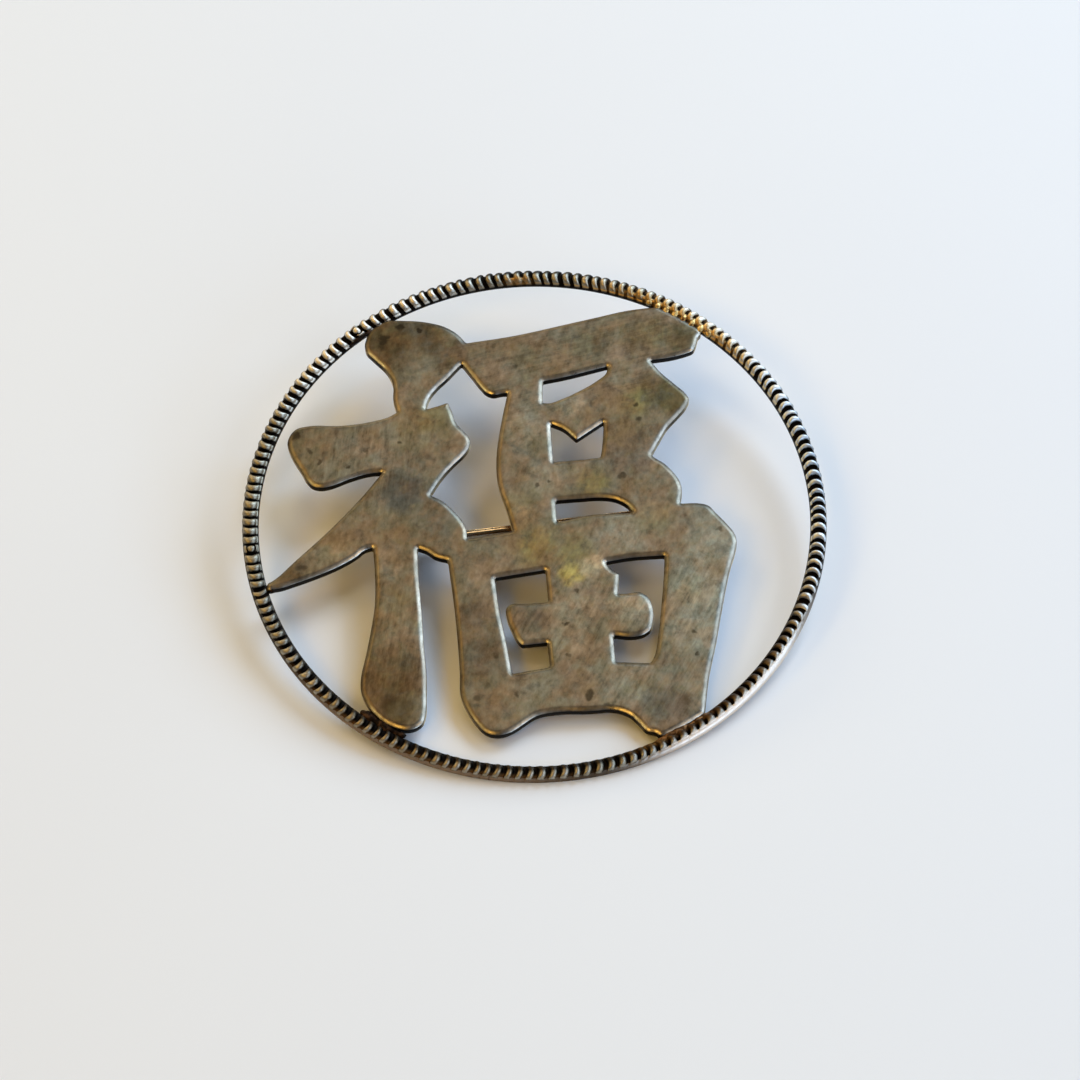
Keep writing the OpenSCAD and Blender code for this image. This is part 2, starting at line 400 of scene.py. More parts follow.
def corner_fans(loop, normals, depth):
    """Extra points round an inside corner, so that its rounded edge stays round."""
    made = []
    after = np.roll(normals, -1, axis=0)
    turn = normals[:, 0] * after[:, 1] - normals[:, 1] * after[:, 0]
    for i in np.where(turn < INSIDE_CORNER)[0]:
        middle = normals[i] + after[i]
        middle /= np.linalg.norm(middle)
        mid_point = (loop[i] + loop[(i + 1) % len(loop)]) / 2
        made.append(mid_point + middle * depth)
    return made


def sheet_points(loops):
    """Points of the sheet's front: rows along its rounded edges, and a loose net between."""
    rng = np.random.default_rng(11)
    rows = []
    for loop in loops:
        normals = inward(loop)
        for depth in EDGE_DEPTHS:
            row = loop + normals * depth
            extra = corner_fans(loop, normals, depth)
            if extra:
                row = np.concatenate([row, np.array(extra)])
            true_depth, _ = nearest_edge(loops, row)
            rows.append(row[(true_depth > depth * ROW_CLEARANCE) & inside_of(loops, row)])
    across = np.arange(-NET_REACH, NET_REACH, NET_STEP)
    along = np.arange(-NET_REACH, NET_REACH, NET_STEP * NET_ROW)
    grid_x, grid_y = np.meshgrid(across, along)
    grid_x[1::2] += NET_STEP / 2
    net = np.column_stack([grid_x.ravel(), grid_y.ravel()])
    net += rng.uniform(-NET_SHAKE, NET_SHAKE, net.shape)
    net = net[inside_of(loops, net)]
    depth, _ = nearest_edge(loops, net)
    return np.concatenate(rows + [net[depth > NET_MARGIN]])


def triangulate(loops, extra):
    """Triangles that fill the metal between the outlines, and the numbers of the outline points in them."""
    points = [Vector(p) for loop in loops for p in loop]
    outline_count = len(points)
    points += [Vector(p) for p in extra]
    made = delaunay_2d_cdt(points, loop_pairs(loops), [], 0, JOIN_WITHIN)
    verts = np.array(made[0])
    faces = np.array(made[2])
    faces = faces[inside_of(loops, verts[faces].mean(1))]
    place = {old: new for new, olds in enumerate(made[3]) for old in olds}
    return verts, faces, [place[i] for i in range(outline_count)]


def slow_waves(points):
    """Faint unevenness of a hand-cut sheet, in millimetres."""
    x = points[:, 0]
    y = points[:, 1]
    wave = 0.022 * np.sin(0.42 * x + 0.8) * np.cos(0.36 * y + 0.3)
    wave += 0.012 * np.sin(0.95 * x - 0.5 * y + 1.9)
    wave += 0.007 * np.sin(1.7 * y + 0.9 * x)
    return wave


def build_sheet(loops, front, wall, back):
    """The pierced sheet, with rounded front edges, sawn walls and a flat back."""
    verts, faces, rim = triangulate(loops, sheet_points(loops))
    depth, facing = nearest_edge(loops, verts)
    height = SHEET_T - edge_drop(depth) + slow_waves(verts) * np.clip(depth / 1.5, 0, 1)
    points = [(x, y, z) for (x, y), z in zip(verts, height)]
    tris = [tuple(f) for f in faces]
    slots = [0] * len(tris)
    pairs = loop_pairs(loops)
    rows = [rim]
    for level in WALL_LEVELS:
        rows.append(list(range(len(points), len(points) + len(rim))))
        points += [(x, y, level) for x, y in np.concatenate(loops)]
    for upper, lower in zip(rows, rows[1:]):
        tris += [(upper[a], lower[a], lower[b], upper[b]) for a, b in pairs]
        slots += [1] * len(pairs)
    back_verts, back_faces, back_rim = triangulate(loops, np.empty((0, 2)))
    first = len(points)
    points += [(x, y, 0.0) for x, y in back_verts]
    tris += [tuple(int(first + k) for k in reversed(f)) for f in back_faces]
    slots += [2] * len(back_faces)
    foot = rows[-1]
    tris += [(foot[a], first + back_rim[a], first + back_rim[b], foot[b]) for a, b in pairs]
    slots += [1] * len(pairs)
    obj = new_piece("pierced_sheet", points, tris, [front, wall, back], slots)
    outline_facing = -np.concatenate([inward(loop) for loop in loops])
    wall_shade_share = list(rim_shade_share(outline_facing)) * len(WALL_LEVELS)
    below = [0.0] * (len(points) - len(depth))
    mark(obj, "from_edge", list(depth) + below)
    # 'rubbed' is partly real wear and partly a painted highlight by facing
    mark(obj, "rubbed", list(rubbed_and_lit_share(facing)) + below)
    # 'rim' is the share of painted shade by facing, for the rim line, the edge colour and the sawn walls
    mark(obj, "rim", list(rim_shade_share(facing)) + wall_shade_share + [0.0] * len(back_verts))
    sharpen(obj, 50)
    return obj


# The milled ring

BEADS = 172
STEPS_PER_BEAD = 14
CROWN_POINTS = 16
BEAD_BOW = 0.24
ROUND_BEADS = (-171.9, 130.2)
WIDE_GAPS = (-22.1, 24.6, -163.0)
SHOULDER = 0.45
WORN_LIFT = 0.13
WORN_RIM = 0.4
FILL_LEVEL = 0.75
ROUND_GROOVE_R = 0.38
ROUND_GROOVE_W = 0.055
ROUND_GROOVE_DEPTH = 0.2

# Columns of each table of zones: angle on the ring, reach to both sides in degrees, strength
REACH_ZONES = (
    (136, 42, -0.14),
    (184, 34, 0.12),
    (4, 50, -0.2),
    (-46, 30, 0.1),
    (-100, 40, -0.1),
    (-128, 26, -0.12),
)
# Painted shade on the beads' far side, made stronger or weaker by zone
SHADE_ZONES = ((-90, 70, 0.28), (140, 44, -0.4), (48, 40, -0.5))

# Shares read by the ring's material: how far its outer side is worn to a slope, solder fills the inner
# half of the grooves, the beads are lighter with painted light on the right and upper left, dulled by
# olive tarnish, golden brown from solder at the upper right and from painted warm light at the lower
# left, or cool in tone
SHARES = {
    "worn": (1.6, ((-46, 34, 1.0),)),
    "filled": (1.5, ((58, 22, 1.0), (-58, 16, 0.8), (93.5, 4, 0.9))),
    "bright": (1.5, ((130, 32, 1.0), (22, 80, 1.0))),
    "olive": (1.4, ((182, 36, 1.0), (92, 20, 0.8))),
    "golden": (1.4, ((58, 30, 1.0), (-112, 46, 1.0))),
    "cool": (1.0, ((8, 60, 1.0),)),
}
POINT_MARKS = ("crown", "side", "flank", "far", "filled")
ZONE_MARKS = ("worn", "bright", "golden", "olive", "cool")


def degrees_between(a, b):
    """How far apart two angles are."""
    return abs((a - b + 180) % 360 - 180)


def window(degrees, middle, reach):
    """1 at one angle of the ring, falling to 0 at the given reach on both sides."""
    t = max(0.0, 1 - degrees_between(degrees, middle) / reach)
    return t * t * (3 - 2 * t)


def zones_at(degrees, zones):
    """Strength of each zone of a table at one angle."""
    return [strength * window(degrees, middle, reach) for middle, reach, strength in zones]


def share_at(name, degrees):
    """One of the shares at one angle, from 0 to 1."""
    gain, zones = SHARES[name]
    return min(1.0, gain * max(zones_at(degrees, zones)))


def bead_angles():
    """Where each bead begins, uneven as on wire rolled by hand."""
    rng = np.random.default_rng(5)
    width = 1 + 0.09 * rng.standard_normal(BEADS)
    width = np.clip(width, 0.8, 1.25)
    ends = np.cumsum(width) / width.sum() * 2 * math.pi
    return np.concatenate([[0], ends])


def bead_swell(t, reach):
    """Fullness of a bead along its length, from 0 in a groove to 1 at its middle."""
    s = min(abs(2 * t - 1) / reach, 1)
    return math.sqrt(1 - s**2.1)


def ring_profile(full, lift, lean, worn):
    """Across the ring at one place: outer foot, flank, beaded crown, inner flank and foot."""
    half = RING_W / 2
    outer = (0.46 + 0.18 * full) * (1 - worn) + (0.26 + 0.08 * full) * worn
    inner = 0.42 + 0.14 * full
    h = 0.05 + (0.46 + lift) * full
    cut = 0.11 * (1 - full) * (1 - worn)
    rim = max(outer + 0.05, half - 0.14 - cut) * (1 - worn) + WORN_RIM * worn
    points = [
        (half, 0.0, 1.0),
        (half - 0.01 - 0.5 * cut, 0.2, 1.0),
        (half - 0.04 - cut, 0.34, 1.0),
        (half - 0.1 - cut, SHOULDER - 0.02, 1.0),
        (rim, SHOULDER + WORN_LIFT * worn, 1.0),
    ]
    for k in range(CROWN_POINTS + 1):
        angle = math.pi * k / CROWN_POINTS
        c = math.cos(angle)
        across = (outer if c > 0 else inner) * c + lean * math.sin(angle) * full
        base = SHOULDER + WORN_LIFT * worn * (1 + c) / 2
        flank = worn * max(0.0, 1 - k / 6) * (1.0 if k == 0 else min(1.0, 1.6 * full))
        points.append((across, base + (h - 0.1 * worn) * math.sin(angle) ** 0.85, flank))
    points += [
        (-half + 0.13, SHOULDER, -0.1),
        (-half + 0.05 + 0.5 * cut, 0.36, -0.45),
        (-half + 0.01, 0.2, -1.0),
        (-half, 0.0, -1.0),
    ]
    return points


def bead_kinds(starts, rng):
    """For every bead: its lift, lean, slant, length share and whether it is a round one."""
    kinds = []
    for i in range(BEADS):
        middle = math.degrees((starts[i] + starts[i + 1]) / 2)
        half = math.degrees(starts[i + 1] - starts[i]) / 2
        lift, lean, slant = rng.standard_normal(3) * (0.035, 0.03, 0.06)
        reach = 0.78 + 0.04 * rng.standard_normal()
        reach += sum(zones_at(middle, REACH_ZONES))
        is_round = any(degrees_between(middle, a) <= half for a in ROUND_BEADS)
        if any(degrees_between(middle, a) <= half for a in WIDE_GAPS):
            lift = -0.3
            reach = 0.6
        if is_round:
            lift = 0.05
            reach = 0.96
        kinds.append((lift, lean, slant, min(reach, 0.97), is_round))
    return kinds


def build_ring(material):
    """The ring of milled wire, one closed band with a bead at every pitch."""
    rng = np.random.default_rng(23)
    starts = bead_angles()
    points = []
    marks = {name: [] for name in POINT_MARKS + ZONE_MARKS}
    middle_r = RING_R - RING_W / 2
    for i, (lift, lean, slant, reach, is_round) in enumerate(bead_kinds(starts, rng)):
        pitch = starts[i + 1] - starts[i]
        for k in range(STEPS_PER_BEAD):
            even = (k + 0.5) / STEPS_PER_BEAD
            t = 0.25 * (1 - math.cos(math.pi * even)) + 0.5 * even
            full = bead_swell(t, reach)
            degrees = math.degrees(starts[i] + pitch * t)
            shares = {name: share_at(name, degrees) for name in SHARES}
            shade = sum(zones_at(degrees, SHADE_ZONES))
            for across, up, flank in ring_profile(full, lift, lean, shares["worn"]):
                seen = full
                fill = shares["filled"] * max(0.0, min(1.0, (0.04 - across) / 0.25))
                if 0.0 <= flank < 0.95 and full < fill * FILL_LEVEL:
                    seen = fill * FILL_LEVEL
                    up += 0.4 * (seen - full) * math.sqrt(max(1 - (across / 0.62)**2, 0))
                if is_round and flank == 0.0:
                    away = math.hypot((t - 0.5) * pitch * middle_r, across)
                    groove = math.exp(-((away - ROUND_GROOVE_R) / ROUND_GROOVE_W) ** 2)
                    up -= ROUND_GROOVE_DEPTH * groove
                    seen *= 1 - groove
                bow = BEAD_BOW * max(1 - (across / 0.6) ** 2, 0) / middle_r
                turn = starts[i] + pitch * t + bow + slant * across * pitch
                side = across / (RING_W / 2)
                r = middle_r + across
                points.append((r * math.cos(turn), r * math.sin(turn), up))
                # 'far' is painted shade on the side of the beads away from the viewer, with the shade zones
                # added
                place_marks = (seen, side, flank, math.sin(turn) * side + shade, fill)
                for name, value in zip(POINT_MARKS, place_marks):
                    marks[name].append(value)
                for name in ZONE_MARKS:
                    marks[name].append(shares[name])
    rows = BEADS * STEPS_PER_BEAD
    obj = new_piece("milled_ring", points, band_faces(rows, len(points) // rows, True), [material])
    for name, values in marks.items():
        mark(obj, name, values)
    return obj


# Solder

SPINE_STEPS = 7
BLOB_STEPS = 28
BLOB_AROUND = 14

# Columns: angle on the ring in degrees, width in millimetres
GOLD_LUMPS = (
    (65.0, 0.28),
    (63.0, 0.36),
    (60.9, 0.4),
    (58.8, 0.42),
    (56.7, 0.44),
    (54.5, 0.56),
    (52.3, 0.44),
    (50.2, 0.34),
)
LUMP_R = 23.75
LUMP_HALF = 0.7
LUMP_HEIGHT = 0.24
LUMP_LEVEL = 0.6
LUMP_SEED = 3

# Columns: name, radius, first and last angle, width, height, level of its middle, seed
DARK_RUNS = (
    ("solder_upper_left", 23.55, 134.0, 127.5, 0.2, 0.16, 0.62, 4),
    ("solder_left", 23.3, -163.6, -161.2, 0.28, 0.2, 0.48, 5),
    ("solder_lower_left", 23.45, -127.5, -116.6, 0.46, 0.2, 0.34, 6),
)
BROWN_RUNS = (
    ("solder_lower_right", 23.85, -65.0, -52.0, 0.46, 0.26, 0.5, 7),
)


def build_run(material, name, radius, start, end, width, height, low, seed):
    """A low run of solder along the ring, swelling and shrinking along its way."""
    rng = np.random.default_rng(seed)
    spine = np.array(arc(radius * GROW, start, end, SPINE_STEPS), float)
    cut = np.linspace(0, len(spine) - 1, BLOB_STEPS)
    line = np.column_stack([np.interp(cut, range(len(spine)), spine[:, k]) for k in (0, 1)])
    along = np.gradient(line, axis=0)
    along /= np.linalg.norm(along, axis=1)[:, None]
    across = np.column_stack([-along[:, 1], along[:, 0]])
    length = np.linalg.norm(np.diff(line, axis=0), axis=1).sum()
    uneven = 0.16 * min(1.0, length / 3)
    ripple = 1 + uneven * np.convolve(rng.standard_normal(BLOB_STEPS + 4), np.ones(5) / 2.2, "valid")
    points = []
    for i in range(BLOB_STEPS):
        end_ease = math.sin(math.pi * (i + 0.35) / (BLOB_STEPS - 0.3)) ** 0.4
        for k in range(BLOB_AROUND):
            turn = 2 * math.pi * k / BLOB_AROUND
            side = math.cos(turn) * width * end_ease * ripple[i]
            z = low + max(math.sin(turn), -0.4) * height * end_ease * ripple[i]
            points.append((*(line[i] + across[i] * side), max(z, 0.02)))
    faces = band_faces(BLOB_STEPS, BLOB_AROUND, False)
    faces.append(tuple(range(BLOB_AROUND)))
    faces.append(tuple(reversed(range((BLOB_STEPS - 1) * BLOB_AROUND, BLOB_STEPS * BLOB_AROUND))))
    obj = new_piece(name, points, faces, [material])
    return obj


def build_solder():
    """Eight gilt lumps at the upper right, and longer runs where the sheet meets the ring elsewhere."""
    gold = solder_gold()
    dark = solder_dark()
    brown = solder_brown()
    pieces = []
    for count, (angle, width) in enumerate(GOLD_LUMPS):
        name = f"solder_gold_{count + 1}"
        ends = (angle + LUMP_HALF, angle - LUMP_HALF)
        form = (width, LUMP_HEIGHT, LUMP_LEVEL)
        pieces.append(build_run(gold, name, LUMP_R, *ends, *form, LUMP_SEED + count))
    pieces += [build_run(dark, *row) for row in DARK_RUNS]
    pieces += [build_run(brown, *row) for row in BROWN_RUNS]
    return pieces


# Hidden fittings

FOOT_T = 0.45
SUNK = 0.06
EASED = 0.07
PLATE_EASE = 0.05


def pin_line():
    """Middle of the pin stem's wire at the hinge and its direction, on the flat brooch in millimetres."""
    stem = on_flat(TO_ROW, mesh_arrays(stem_node)[0])
    hinge = on_flat(TO_ROW, mesh_arrays(rivet_node)[0]).mean(0)
    tip = stem[np.argmax(stem[:, 0])]
    way = tip[:2] - hinge[:2]
    return hinge, way / np.linalg.norm(way)


def place_bm(bm, origin, way):
    """Moves a mesh from the pin stem's own axes to the flat brooch and returns its parts."""
    bm.verts.ensure_lookup_table()
    points = []
    for v in bm.verts:
        x, y, z = v.co
        points.append((
            origin[0] + way[0] * x - way[1] * y,
            origin[1] + way[1] * x + way[0] * y,
            origin[2] + z,
        ))
    faces = [tuple(v.index for v in f.verts) for f in bm.faces]
    bm.free()
    return points, faces


def fitting_foot(lo, hi, depth, origin, way):
    """The eased block by which a fitting is soldered to the back of the sheet."""
    lo = (*lo, depth - FOOT_T)
    hi = (*hi, depth + SUNK)
    bm = bmesh.new()
    bmesh.ops.create_cube(bm, size=1)
    for v in bm.verts:
        v.co = Vector([lo[i] + (v.co[i] + 0.5) * (hi[i] - lo[i]) for i in range(3)])
    bmesh.ops.bevel(bm, geom=bm.edges[:], offset=EASED, segments=3, profile=0.5, affect="EDGES")
    return place_bm(bm, origin, way)


def swept_strip(profile, lo, hi, origin, way):
    """A flat profile made solid along the pin stem's line, with eased edges."""
    bm = bmesh.new()
    near = [bm.verts.new((lo, u, v)) for u, v in profile]
    far = [bm.verts.new((hi, u, v)) for u, v in profile]
    for i in range(len(profile)):
        j = (i + 1) % len(profile)
        bm.faces.new((near[i], near[j], far[j], far[i]))
    caps = (bm.faces.new(near[::-1]), bm.faces.new(far))
    bmesh.ops.recalc_face_normals(bm, faces=bm.faces[:])
    edges = [e for e in bm.edges if any(cap in e.link_faces for cap in caps)]
    bmesh.ops.bevel(bm, geom=edges, offset=EASED, segments=2, profile=0.5, affect="EDGES")
    bmesh.ops.triangulate(bm, faces=[f for f in bm.faces if len(f.verts) > 4])
    return place_bm(bm, origin, way)


def bored_plate(outer, bore_r, lo, hi, origin, way):
    """An upright plate of the given outline with a round bore at its axis."""
    bore = arc(bore_r, 360, 0, 24)[:-1]
    loops = [np.array(outer), np.array(bore)]
    made = delaunay_2d_cdt([Vector(p) for p in outer + bore], loop_pairs(loops), [], 0, JOIN_WITHIN)
    verts = np.array(made[0])
    tris = np.array(made[2])
    tris = tris[inside_of(loops, verts[tris].mean(1))]
    bm = bmesh.new()
    layers = []
    for level, is_face in ((lo, True), (lo + PLATE_EASE, False), (hi - PLATE_EASE, False), (hi, True)):
        row = []
        for p in verts:
            r = np.hypot(*p)
            eased_r = bore_r + PLATE_EASE * 0.5 if r < bore_r * 1.05 else r - PLATE_EASE
            q = p * (eased_r / r) if is_face else p
            row.append(bm.verts.new((q[0], level, q[1])))
        layers.append(row)
    for f in tris:
        bm.faces.new([layers[0][k] for k in f])
        bm.faces.new([layers[-1][k] for k in reversed(f)])
    border = boundary_edges(tris)
    for low, high in zip(layers, layers[1:]):
        for a, b in border:
            bm.faces.new((low[b], low[a], high[a], high[b]))
    bmesh.ops.recalc_face_normals(bm, faces=bm.faces[:])
    return place_bm(bm, origin, way)


def merged_piece(name, parts, material):
    """One piece from several sets of points and faces."""
    points = []
    faces = []
    for more_points, more_faces in parts:
        first = len(points)
        points += more_points
        faces += [tuple(first + k for k in f) for f in more_faces]
    obj = new_piece(name, points, faces, [material])
    sharpen(obj, 40)
    return obj


def build_bracket(hinge, way, material):
    """Hinge bracket: a foot on the back of the sheet and a rounded ear on each side of the stem's eye."""
    depth = -hinge[2]
    ear_in = 0.6 * GROW
    ear_out = 1.15 * GROW
    ear_r = 1.155 * GROW
    bore_r = 0.45 * GROW
    outer = arc(ear_r, 180, 360, 24)
    outer += [(ear_r, depth - 0.3), (-ear_r, depth - 0.3)]
    parts = [fitting_foot((-1.5, -ear_out), (1.5, ear_out), depth, hinge, way)]
    for lo, hi in ((-ear_out, -ear_in), (ear_in, ear_out)):
        parts.append(bored_plate(outer, bore_r, lo, hi, hinge, way))
    return merged_piece("hinge_bracket", parts, material)


def build_hook(hinge, way, material):
    """Hook catch: a foot on the back of the sheet and a strip that comes down and curls under the stem."""
    run = 22.4 * GROW
    origin = hinge + np.array([way[0] * run, way[1] * run, 0])
    depth = -hinge[2]
    hook_r = 1.3 * GROW
    inner_r = hook_r - 0.5 * GROW
    lip = math.degrees(math.asin(0.15 / hook_r))
    outer = [(hook_r, depth - 0.1)] + arc(hook_r, 0, -180 - lip, 36)
    inner = arc(inner_r, -180 - lip, 0, 36) + [(inner_r, depth - 0.1)]
    curl = swept_strip(outer + inner, -1.1, 1.1, origin, way)
    foot = fitting_foot((-1.4, -0.65), (1.4, 1.3), depth, origin, way)
    return merged_piece("hook_catch", [foot, curl], material)


# Shader helpers

WANDER = 1.4


class Shader:
    """Short calls that add shader nodes to one material."""

    def __init__(self, name):
        self.material = bpy.data.materials.new(name)
        self.material.use_nodes = True
        self.tree = self.material.node_tree
        self.tree.nodes.clear()
        self.bsdf = self.node("ShaderNodeBsdfPrincipled", {})
        self.node("ShaderNodeOutputMaterial", {"Surface": self.bsdf.outputs["BSDF"]})
        self.flat = self.flat_place()
        self.plane = None

    def put(self, socket, value):
        """Links an input to another node's output, or sets it to a plain value."""
        if isinstance(value, bpy.types.NodeSocket):
            self.tree.links.new(value, socket)
        else:
            socket.default_value = value

    def node(self, kind, inputs, **settings):
        """A new node with its settings and some of its inputs filled in."""
        made = self.tree.nodes.new(kind)
        for name, value in settings.items():
            setattr(made, name, value)
        for key, value in inputs.items():
            self.put(made.inputs[key], value)
        return made

    def flat_place(self):
        """Place on the flat brooch, in millimetres."""
        place, turn, size = TO_ROW.decompose()
        coord = self.node("ShaderNodeTexCoord", {}).outputs["Object"]
        inputs = {"Vector": coord, "Location": place, "Rotation": turn.to_euler(), "Scale": size}
        return self.node("ShaderNodeMapping", inputs, vector_type="TEXTURE").outputs["Vector"]

    def turned(self, degrees, across, along):
        """The flat place turned and scaled, for streaks that run along one direction."""
        turn = {"Vector": self.flat, "Rotation": (0, 0, math.radians(-degrees))}
        first = self.node("ShaderNodeMapping", turn).outputs["Vector"]
        size = {"Vector": first, "Scale": (along, across, along)}
        return self.node("ShaderNodeMapping", size).outputs["Vector"]

    def noise(self, vector, scale, detail, rough, bend=0.0):
        inputs = {"Vector": vector, "Scale": scale, "Detail": detail, "Roughness": rough, "Distortion": bend}
        return self.node("ShaderNodeTexNoise", inputs).outputs["Fac"]

    def math(self, kind, a, b=0.0, c=0.0):
        return self.node("ShaderNodeMath", {0: a, 1: b, 2: c}, operation=kind).outputs["Value"]

    def times(self, a, b):
        return self.math("MULTIPLY", a, b)

    def span(self, value, lo, hi, to_lo=0.0, to_hi=1.0):
        """A value carried smoothly from one range over to another."""
        inputs = {"Value": value, "From Min": lo, "From Max": hi, "To Min": to_lo, "To Max": to_hi}
        return self.node("ShaderNodeMapRange", inputs, interpolation_type="SMOOTHSTEP").outputs["Result"]

    def mix(self, factor, a, b, kind="MIX"):
        inputs = {"Factor": factor, 6: a, 7: b}
        return self.node("ShaderNodeMix", inputs, data_type="RGBA", blend_type=kind).outputs[2]

    def scale(self, color, factor):
        """A colour made lighter or darker by a number."""
        inputs = {0: color, "Scale": factor}
        return self.node("ShaderNodeVectorMath", inputs, operation="SCALE").outputs["Vector"]

    def attribute(self, name):
        return self.node("ShaderNodeAttribute", {}, attribute_name=name).outputs["Fac"]

    def flat_plane(self):
        """The flat place with a little wander and no height, for spots with uneven edges."""
        if self.plane is None:
            noise = self.node("ShaderNodeTexNoise", {"Vector": self.flat, "Scale": 0.9, "Detail": 3.0})
            shift = {0: noise.outputs["Color"], 1: (WANDER, WANDER, 0), 2: self.flat}
            moved = self.node("ShaderNodeVectorMath", shift, operation="MULTIPLY_ADD")
            level = {0: moved.outputs["Vector"], 1: (1, 1, 0), 2: (-WANDER / 2, -WANDER / 2, 0)}
            self.plane = self.node("ShaderNodeVectorMath", level, operation="MULTIPLY_ADD").outputs["Vector"]
        return self.plane

    def spot(self, x, y, inner, outer):
        """1 within the inner radius of a point on the flat brooch, falling to 0 at the outer radius."""
        inputs = {0: self.flat_plane(), 1: (x, y, 0)}
        away = self.node("ShaderNodeVectorMath", inputs, operation="DISTANCE").outputs["Value"]
        return self.span(away, inner, outer, 1.0, 0.0)

    def bump(self, height, strength, distance):
        inputs = {"Strength": strength, "Distance": distance, "Height": height}
        return self.node("ShaderNodeBump", inputs).outputs["Normal"]

    def finish(self, color, roughness, metallic, normal=None):
        """Fills in the surface and returns the finished material."""
        self.put(self.bsdf.inputs["Base Color"], color)
        self.put(self.bsdf.inputs["Roughness"], roughness)
        self.put(self.bsdf.inputs["Metallic"], metallic)
        if normal is not None:
            self.put(self.bsdf.inputs["Normal"], normal)
        return self.material


def rgb(r, g, b):
    """A colour given as on screen, 0 to 255, as linear light."""
    made = []
    for v in (r, g, b):
        c = v / 255
        made.append(c / 12.92 if c <= 0.04045 else ((c + 0.055) / 1.055) ** 2.4)
    return (*made, 1.0)


# Materials

FRONT_WARM = (0.174, 0.141, 0.093, 1.0)
FRONT_GREY = (0.195, 0.168, 0.124, 1.0)
BROWN_TARNISH = (0.084, 0.055, 0.024, 1.0)
WARM_TARNISH = (0.215, 0.166, 0.092, 1.0)
OLIVE_TARNISH = (0.094, 0.078, 0.040, 1.0)
DULL_TARNISH = (0.093, 0.085, 0.070, 1.0)
GREEN_TARNISH = (0.200, 0.162, 0.060, 1.0)
COOL_SILVER = (0.233, 0.236, 0.190, 1.0)
LIGHT_SILVER = (0.272, 0.240, 0.178, 1.0)
YELLOW_STAIN = (0.37, 0.30, 0.11, 1.0)
TAN_STAIN = (0.38, 0.31, 0.20, 1.0)
SPOT_BLACK = (0.030, 0.023, 0.014, 1.0)
# Edge colours: rubbed silver; a paler one for edges that face up or down, a painted change of what they
# reflect; and near-black for the painted shade line at the rim
EDGE_SILVER = (0.51, 0.42, 0.315, 1.0)
PALE_EDGE = (0.51, 0.465, 0.39, 1.0)
RIM_SHADE_BLACK = (0.012, 0.010, 0.008, 1.0)
HUE_RED = (1.095, 0.98, 0.925, 1.0)
HUE_GREEN = (0.915, 1.015, 1.06, 1.0)

# Columns of each table of spots and patches: across, along, inner radius, outer radius, strength
DARK_SPOTS = (
    (-13.7, 16.8, 0.1, 0.45, 0.75),
    (-13.5, 17.3, 0.2, 0.6, 0.9),
    (-13.3, 17.8, 0.2, 0.6, 0.9),
    (-11.9, 18.8, 0.16, 0.5, 0.94),
    (-10.3, 18.3, 0.16, 0.4, 0.95),
    (-20.7, 7.8, 0.16, 0.5, 0.81),
    (-19.3, 6.2, 0.11, 0.4, 0.68),
    (-18.6, 5, 0.11, 0.4, 0.74),
    (-16, 4.6, 0.11, 0.35, 0.81),
    (-14.6, 6.3, 0.11, 0.3, 0.54),
    (-11.6, 7.1, 0.11, 0.3, 0.68),
    (-19.7, -5.3, 0.16, 0.6, 0.61),
    (8.7, 11, 0.11, 0.35, 0.81),
    (8.9, 9.4, 0.11, 0.4, 0.68),
    (7.6, 3.7, 0.11, 0.35, 0.68),
    (0.1, 2.8, 0.11, 0.3, 0.68),
    (1.4, 3, 0.11, 0.3, 0.68),
    (3.6, -7.4, 0.11, 0.35, 0.68),
    (2.8, -10.6, 0.05, 0.24, 0.85),
    (2.8, -13.7, 0.11, 0.3, 0.54),
    (4.6, -17.3, 0.21, 0.6, 0.81),
    (-1.4, -17.2, 0.11, 0.45, 0.68),
    (-4.4, -17.5, 0.16, 0.7, 0.61),
    (-3.2, -13.5, 0.11, 0.4, 0.54),
    (6.3, -18.2, 0.11, 0.3, 0.54),
    (15.7, -1.7, 0.11, 0.35, 0.54),
    (13.4, -11.3, 0.11, 0.35, 0.68),
    (13.7, -13.5, 0.11, 0.25, 0.68),
    (12.8, -17.6, 0.16, 0.7, 0.47),
    (-12, -17.9, 0.26, 1.1, 0.47),
)

BROWN_PATCHES = (
    (-12.8, 17.4, 1.0, 4.4, 0.8),
    (-9.4, 17.9, 0.8, 3.0, 0.8),
    (-7.6, 16.0, 0.5, 2.8, 0.55),
    (-12.0, -15.8, 1.2, 4.4, 0.7),
    (-11.3, -18.8, 0.8, 2.8, 0.8),
    (-20.4, 7.2, 0.3, 1.8, 0.35),
    (-20.6, -6.2, 0.4, 2.0, 0.45),
)

OLIVE_PATCHES = (
    (9.6, 18.0, 1.0, 3.4, 0.6),
    (12.6, 17.6, 0.6, 2.4, 0.75),
    (10.2, 12.4, 0.6, 2.4, 0.8),
    (12.4, 11.9, 1.6, 3.0, 1.0),
    (4.6, 17.6, 0.8, 3.2, 0.45),
    (8.0, 8.2, 0.6, 2.4, 0.35),
)

WARM_PATCHES = (
    (-9.6, 8.2, 1.0, 3.4, 0.5),
    (-1.8, 0.2, 0.8, 2.8, 0.75),
    (-16.8, -3.6, 0.5, 2.6, 0.5),
    (-12.2, -9.8, 0.8, 3.0, 0.3),
)

DULL_PATCHES = (
    (-11.2, 2.2, 1.0, 3.0, 1.0),
    (-10.8, 5.0, 0.5, 2.2, 0.3),
    (-8.8, 0.4, 0.5, 2.4, 0.35),
    (8.2, 5.4, 0.8, 2.8, 0.5),
    (-4.2, -13.4, 0.8, 3.4, 0.5),
    (-5.0, -9.8, 0.5, 2.4, 0.6),
    (0.0, -10.0, 0.5, 1.9, 0.6),
    (11.2, -18.0, 0.8, 3.0, 0.7),
    (11.6, -15.2, 0.6, 2.4, 0.35),
    (-8.0, 16.0, 0.6, 2.4, 0.4),
    (-8.0, -1.0, 0.6, 2.4, 0.45),
)

